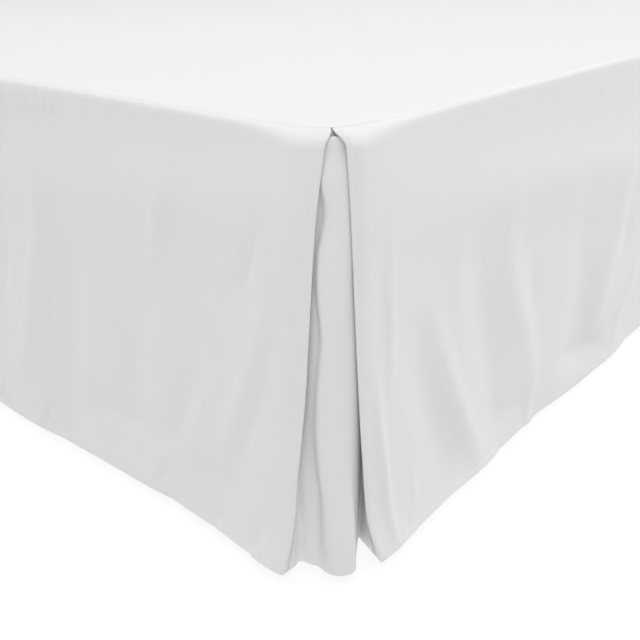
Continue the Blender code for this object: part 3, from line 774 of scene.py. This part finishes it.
def drop_sheet(drop, widest):
    """All points of a drop, rows by columns, with the turns round its folds."""
    places = panel_places(drop["ends"], drop["length"], widest)
    points, facts = panel_sheet(drop, places)
    for end in drop["ends"]:
        edge = -1 if end["side"] == "left_fold" else 0
        seam = float(seam_angle(facts[0][edge]) + SEAM_HALF_GAP)
        turned = [turned_points(end, stop, seam) for stop in DROP_STOPS]
        if end["side"] == "left_fold":
            points = np.concatenate([points, np.stack(turned, axis=1)], axis=1)
        else:
            points = np.concatenate([np.stack(turned[::-1], axis=1), points], axis=1)
    return points, facts


def strip_top(place, step):
    """Distance out and depth of a strip's middle beside the base's rounded edge."""
    centre_out = -BASE_INSET - BASE_EDGE_RADIUS
    centre_below = BASE_CLEARANCE + GAP + BASE_EDGE_RADIUS
    radius = place[1] - centre_out
    roll = min(step / STRIP_ROLL_SHARE, 1.0)
    turn = STRIP_TOP_ANGLE + (math.pi / 2 - STRIP_TOP_ANGLE) * roll
    straight = max(step - STRIP_ROLL_SHARE, 0.0) * STRIP_LENGTHENING
    below = centre_below - radius * math.cos(turn) + straight
    return centre_out + radius * math.sin(turn), below


def strip_sheet(corner):
    """All points of a pleat strip, rows by columns, from behind one fold to the other."""
    stops = np.linspace(STRIP_FIRST, SECTION_END - STRIP_FIRST, STRIP_COLUMNS)
    middles = np.interp(stops, (LEFT_UNDER, RISE, FLANK, RIGHT_UNDER), (0.0, 1.0, 1.0, 0.0))
    rows = []
    for step in np.arange(STRIP_TOP_ROWS) / STRIP_TOP_ROWS:
        row = []
        for stop, middle in zip(stops, middles):
            place = section_place(PLEAT_TOP, -1, stop)
            middle_out, middle_below = strip_top(place, step)
            behind = RETURN_TOP + (PLEAT_TOP - RETURN_TOP) * step
            row.append((corner + place[0], (1 - middle) * place[1] + middle * middle_out,
                        (1 - middle) * behind + middle * middle_below))
        rows.append(row)
    for depth in hang_depths(PLEAT_TOP):
        places = [section_place(depth, -1, stop) for stop in stops]
        rows.append([(corner + place[0], place[1], depth) for place in places])
    return cloth_points(*np.moveaxis(np.array(rows), -1, 0))


def surface_uv(points):
    """Flat coordinates of a sheet in metres, from the lengths of its rows and columns."""
    across = np.linalg.norm(np.diff(points, axis=1), axis=2).mean(axis=0)
    down = np.linalg.norm(np.diff(points, axis=0), axis=2).mean(axis=1)
    u = np.concatenate([[0.0], np.cumsum(across)])
    v = np.concatenate([[0.0], np.cumsum(down)])
    return np.stack(np.meshgrid(u, -v), axis=-1)


def make_sheet(name, points, uv, material):
    """A thin sheet: a grid of quads moved to rows and columns of points, top row first."""
    rows, columns = points.shape[:2]
    grid = bmesh.new()
    bmesh.ops.create_grid(grid, x_segments=columns - 1, y_segments=rows - 1, size=0.5)
    mesh = bpy.data.meshes.new(name)
    grid.to_mesh(mesh)
    grid.free()
    mesh.vertices.foreach_set("co", points[::-1].astype(np.float32).ravel())
    corners = np.empty(len(mesh.loops), dtype=np.int32)
    mesh.loops.foreach_get("vertex_index", corners)
    layer = mesh.uv_layers.new(name="cloth")
    layer.data.foreach_set("uv", uv[::-1].reshape(-1, 2)[corners].astype(np.float32).ravel())
    mesh.shade_smooth()
    sheet = add_object(name, mesh, material)
    solid = sheet.modifiers.new("cloth thickness", "SOLIDIFY")
    solid.thickness = THICKNESS
    solid.offset = 0.0
    return sheet


def add_object(name, data, material):
    piece = bpy.data.objects.new(name, data)
    bpy.context.scene.collection.objects.link(piece)
    if material:
        piece.data.materials.append(material)
    return piece


def deck_columns():
    """Distances along the edge of the deck's columns, the same on both sides."""
    near = np.geomspace(DECK_SIDE_START, 1.0, DECK_SIDE_COLUMNS) * SIDE_RUN
    side = SIDE_RUN - np.concatenate([[0.0], near])[::-1]
    half_foot = np.geomspace(DECK_FOOT_START, 1.0, DECK_FOOT_COLUMNS) * FOOT_RUN / 2
    foot = np.concatenate([half_foot, FOOT_RUN - half_foot[-2::-1]])
    arc = np.linspace(0.0, ARC_RUN, DECK_ARC_COLUMNS)
    left = np.concatenate([side, SIDE_RUN + arc[1:]])
    middle = SIDE_RUN + ARC_RUN + foot
    right = SIDE_RUN + ARC_RUN + FOOT_RUN + arc
    last = PATH_END - side[::-1][1:]
    return np.concatenate([left, middle, right, last])


def deck_sheet(seam_facts):
    """Points of the deck: rings from the middle out, then over the bend to the seam."""
    along = deck_columns()
    places, outs, depths = seam_facts
    out_at_bend = np.interp(along, places, outs)
    depth = np.interp(along, places, depths)
    count = round((HALF_WIDTH - DECK_INSETS[-1]) / DECK_RING_PITCH)
    even = np.linspace(DECK_INSETS[-1], HALF_WIDTH, count + 1)
    insets = np.concatenate([DECK_INSETS[:-1], even])[::-1]
    rings = []
    for inset in insets:
        points = cloth_points(along, np.full(along.shape, -inset), np.zeros(along.shape))
        settle = np.clip((inset - DECK_WAVE_INSET) / DECK_WAVE_GROWTH, 0.0, 1.0)
        for point in points:
            spot = Vector((point[0] / DECK_WAVE_LENGTH, point[1] / DECK_WAVE_LENGTH, 0.0))
            point[2] += DECK_WAVE * settle * noise.noise(spot)
        rings.append(points)
    seam = seam_angle(along) - SEAM_HALF_GAP
    for share in DECK_BEND_SHARES:
        turn = share * seam
        relief = seam_relief(turn - seam, along)
        share_out, share_below = bend_shares(turn, along)
        out = -SEAM_INSET + (out_at_bend + SEAM_INSET) * share_out + relief * np.sin(turn)
        below = depth * share_below - relief * np.cos(turn)
        rings.append(cloth_points(along, out, below))
    return np.array(rings)


def make_deck(seam_facts, material):
    """The deck, whose columns are welded where its middle rings run together."""
    points = deck_sheet(seam_facts)
    deck = make_sheet("skirt_deck", points, points[..., :2], material)
    welder = bmesh.new()
    welder.from_mesh(deck.data)
    bmesh.ops.remove_doubles(welder, verts=welder.verts, dist=DECK_WELD)
    welder.to_mesh(deck.data)
    welder.free()
    return deck


def new_material(name, **values):
    """A material, its node tree and its shader, with the shader's sockets given by name."""
    material = bpy.data.materials.new(name)
    material.use_nodes = True
    tree = material.node_tree
    shader = tree.nodes["Principled BSDF"]
    for socket, value in values.items():
        shader.inputs[socket.replace("_", " ")].default_value = value
    return material, tree, shader


def add_node(tree, kind, **values):
    """A shader node with its sockets and settings given by name."""
    node = tree.nodes.new(kind)
    for name, value in values.items():
        if hasattr(node, name):
            setattr(node, name, value)
        else:
            node.inputs[name.replace("_", " ")].default_value = value
    return node


def add_texture(tree, kind, place, **values):
    """A texture or mapping node that reads the given coordinates."""
    texture = add_node(tree, kind, **values)
    tree.links.new(place, texture.inputs["Vector"])
    return texture


def mix_colours(tree, shader, pattern, colours):
    """Mixes the base colour from two, by a noise texture's value."""
    mix = add_node(tree, "ShaderNodeMix", data_type="RGBA")
    tree.links.new(pattern.outputs["Fac"], mix.inputs["Factor"])
    for socket, colour in zip((6, 7), colours):
        mix.inputs[socket].default_value = (*colour, 1.0)
    tree.links.new(mix.outputs[2], shader.inputs["Base Color"])


def add_bump(tree, height, onto, strength, distance):
    """A bump node that gives another node its normal."""
    bump = add_node(tree, "ShaderNodeBump", Strength=strength, Distance=distance)
    tree.links.new(height, bump.inputs["Height"])
    tree.links.new(bump.outputs["Normal"], onto.inputs["Normal"])
    return bump


def weave_height(tree, uv):
    """Height of a plain weave, from the cloth's own flat coordinates in metres."""
    over = add_texture(tree, "ShaderNodeTexChecker", uv, Scale=1.0 / THREAD_PITCH)
    mix = add_node(tree, "ShaderNodeMix", data_type="FLOAT")
    tree.links.new(over.outputs["Fac"], mix.inputs["Factor"])
    for socket, direction in ((2, "X"), (3, "Y")):
        wave = add_texture(tree, "ShaderNodeTexWave", uv, wave_type="BANDS",
                           bands_direction=direction, Scale=0.5 / THREAD_PITCH,
                           Distortion=0.0)
        tree.links.new(wave.outputs["Fac"], mix.inputs[socket])
    return mix.outputs[0]


def cloth_material():
    """White plain-weave cotton with a soft sheen and slightly uneven threads."""
    material, tree, shader = new_material(
        "skirt cloth", Roughness=0.85, Specular_IOR_Level=0.25, Sheen_Weight=0.15,
        Sheen_Roughness=0.5)
    uv = add_node(tree, "ShaderNodeUVMap", uv_map="cloth").outputs["UV"]
    slub = add_texture(tree, "ShaderNodeTexNoise", uv, Scale=900.0, Detail=3.0)
    mix_colours(tree, shader, slub, CLOTH_COLOURS)
    soft = add_texture(tree, "ShaderNodeTexNoise", uv, Scale=60.0, Detail=2.0)
    rumple = add_bump(tree, soft.outputs["Fac"], shader, 0.25, 0.0004)
    add_bump(tree, weave_height(tree, uv), rumple, 0.35, 0.00008)
    return material


def cover_material():
    """A pale woven cover with slightly uneven threads."""
    material, tree, shader = new_material("base cover", Roughness=0.9, Specular_IOR_Level=0.2)
    place = add_node(tree, "ShaderNodeTexCoord").outputs["Object"]
    slub = add_texture(tree, "ShaderNodeTexNoise", place, Scale=350.0, Detail=3.0)
    mix_colours(tree, shader, slub, COVER_COLOURS)
    weave = add_texture(tree, "ShaderNodeTexVoronoi", place, Scale=900.0)
    add_bump(tree, weave.outputs["Distance"], shader, 0.3, 0.0002)
    return material


def leg_material():
    """Stained beech with its grain up the leg, under a satin lacquer."""
    material, tree, shader = new_material("leg wood", Roughness=0.42)
    place = add_node(tree, "ShaderNodeTexCoord").outputs["Object"]
    stretch = add_texture(tree, "ShaderNodeMapping", place, Scale=(1.0, 1.0, 0.08))
    grain = add_texture(tree, "ShaderNodeTexNoise", stretch.outputs["Vector"], Scale=190.0,
                        Detail=6.0, Distortion=0.6)
    mix_colours(tree, shader, grain, WOOD_COLOURS)
    add_bump(tree, grain.outputs["Fac"], shader, 0.15, 0.0002)
    return material


def dress(piece, node):
    """The piece stands for a node of the solids: it goes under the root body, and the node's
    part is hidden.
    """
    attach(piece, "root")
    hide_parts(node)
    return piece


def make_skirt():
    """The three drops, the deck that they are sewn to, and the two pleat strips."""
    cloth = cloth_material()
    facts = []
    for node, start, end, folds, sides, widest in DROPS:
        ends = [drop_end(side, start, end) for side in sides]
        drop = {"node": node, "start": start, "length": end - start, "folds": folds,
                "ends": ends}
        points, seam = drop_sheet(drop, widest)
        facts.append(seam)
        piece = make_sheet("skirt_" + node, points, surface_uv(points), cloth)
        dress(piece, node)
    seam_facts = [np.concatenate([fact[item] for fact in facts]) for item in range(3)]
    deck = make_deck(seam_facts, cloth)
    dress(deck, "deck")
    for side, corner in (("left", LEFT_CORNER), ("right", RIGHT_CORNER)):
        points = strip_sheet(corner)
        strip = make_sheet("skirt_corner_pleat_" + side, points, surface_uv(points), cloth)
        dress(strip, "corner_pleat_" + side)


def ring_of_base(inset, height):
    """Points round the base at an inset from its faces, with rounded corners."""
    radius = max(BASE_CORNER_RADIUS - inset, BASE_LEAST_RADIUS)
    half_x = BASE_WIDTH / 2 - inset - radius
    middle = (BASE_BACK + BASE_FRONT) / 2
    half_y = (BASE_BACK - BASE_FRONT) / 2 - inset - radius
    points = []
    quarters = ((1, 1), (-1, 1), (-1, -1), (1, -1))
    for quarter, (x_side, y_side) in enumerate(quarters):
        for turn in np.linspace(0.0, math.pi / 2, BASE_CORNER_STEPS + 1):
            angle = quarter * math.pi / 2 + turn
            points.append((x_side * half_x + radius * math.cos(angle),
                           middle + y_side * half_y + radius * math.sin(angle)))
        next_x, next_y = quarters[(quarter + 1) % 4]
        last = np.array(points[-1])
        far = np.array((next_x * half_x + radius * math.cos(angle),
                        middle + next_y * half_y + radius * math.sin(angle)))
        for share in np.arange(1, BASE_SIDE_STEPS) / BASE_SIDE_STEPS:
            points.append(tuple(last + share * (far - last)))
    return [(x, y, BASE_BOTTOM + height) for x, y in points]


def base_outline():
    """Insets and heights of the base's rings, from its underside up to its top."""
    radius = BASE_EDGE_RADIUS
    under = [(inset, 0.0) for inset in BASE_FACE_INSETS]
    lower = [(radius * (1 - math.sin(turn)), radius * (1 - math.cos(turn)))
             for turn in np.linspace(0.0, math.pi / 2, BASE_EDGE_STEPS + 1)]
    border = []
    for height in np.linspace(radius, BASE_HEIGHT - radius, BASE_BORDER_STEPS)[1:-1]:
        dents = sum(math.exp(-((height - tape) / BASE_TAPE_WIDTH) ** 2)
                    for tape in BASE_TAPE_HEIGHTS)
        border.append((BASE_TAPE_DEPTH * dents, height))
    above = [(inset, BASE_HEIGHT - height) for inset, height in (under + lower)[::-1]]
    return under + lower + border + above


def mesh_of_rings(name, rings):
    """A closed mesh through rings of as many points each, with a flat face at each end."""
    shell = bmesh.new()
    rows = [[shell.verts.new(point) for point in ring] for ring in rings]
    for low, high in zip(rows[:-1], rows[1:]):
        for a, b, c, d in zip(low, low[1:] + low[:1], high[1:] + high[:1], high):
            shell.faces.new((a, b, c, d))
    shell.faces.new(rows[0][::-1])
    shell.faces.new(rows[-1])
    mesh = bpy.data.meshes.new(name)
    shell.to_mesh(mesh)
    shell.free()
    mesh.shade_smooth()
    return mesh


def make_base():
    """The upholstered base under the skirt."""
    rings = [ring_of_base(inset, height) for inset, height in base_outline()]
    base = add_object("base_cover", mesh_of_rings("base_cover", rings), cover_material())
    dress(base, "bed_base")


def make_legs():
    """Six turned legs with a small bead under the base."""
    wood = leg_material()
    turns = np.arange(LEG_SIDES) * 2 * math.pi / LEG_SIDES
    rings = [[(radius * math.cos(turn), radius * math.sin(turn), height) for turn in turns]
             for radius, height in LEG_OUTLINE]
    for place, y in LEG_PLACES.items():
        for side, x in (("left", -LEG_SIDE), ("right", LEG_SIDE)):
            moved = [[(x + point[0], y + point[1], point[2]) for point in ring]
                     for ring in rings]
            name = "turned_leg_" + place + "_" + side
            leg = add_object(name, mesh_of_rings(name, moved), wood)
            dress(leg, "leg_" + place + "_" + side)


def make_stage():
    """The pale floor."""
    mesh = bpy.data.meshes.new("floor")
    plane = bmesh.new()
    bmesh.ops.create_grid(plane, x_segments=1, y_segments=1, size=FLOOR_SIZE)
    plane.to_mesh(mesh)
    plane.free()
    material = new_material(
        "floor", Base_Color=(FLOOR_ALBEDO,) * 3 + (1.0,), Roughness=0.9,
        Specular_IOR_Level=0.0, Emission_Color=(*WHITE, 1.0),
        Emission_Strength=FLOOR_GLOW)[0]
    floor = add_object("floor", mesh, material)


def make_light(name, place, aim, size, power):
    """A square softbox turned to its aim."""
    light = bpy.data.lights.new(name, "AREA")
    light.shape = "SQUARE"
    light.size = size
    light.energy = power
    lamp = add_object(name, light, None)
    lamp.location = place
    lamp.rotation_euler = (Vector(aim) - Vector(place)).to_track_quat("-Z", "Y").to_euler()


def make_lights():
    world = bpy.data.worlds.new("studio")
    world.use_nodes = True
    sky = world.node_tree.nodes["Background"]
    sky.inputs["Color"].default_value = (*WHITE, 1.0)
    sky.inputs["Strength"].default_value = SKY_STRENGTH
    bpy.context.scene.world = world
    for row in LAMPS:
        make_light(**dict(zip(LAMP_COLUMNS, row)))


def set_colour_view():
    """Plain colours, so that the white cloth keeps the photo's tones."""
    bpy.context.scene.view_settings.view_transform = "Standard"


def make_camera():
    lens = bpy.data.cameras.new("camera")
    lens.lens = CAMERA_LENS
    camera = add_object("camera", lens, None)
    camera.location = CAMERA_PLACE
    camera.rotation_euler = (math.radians(90 - CAMERA_PITCH), 0.0,
                             math.radians(CAMERA_HEADING))
    bpy.context.scene.camera = camera


set_colour_view()
make_camera()
make_skirt()
make_base()
make_legs()
make_stage()
make_lights()
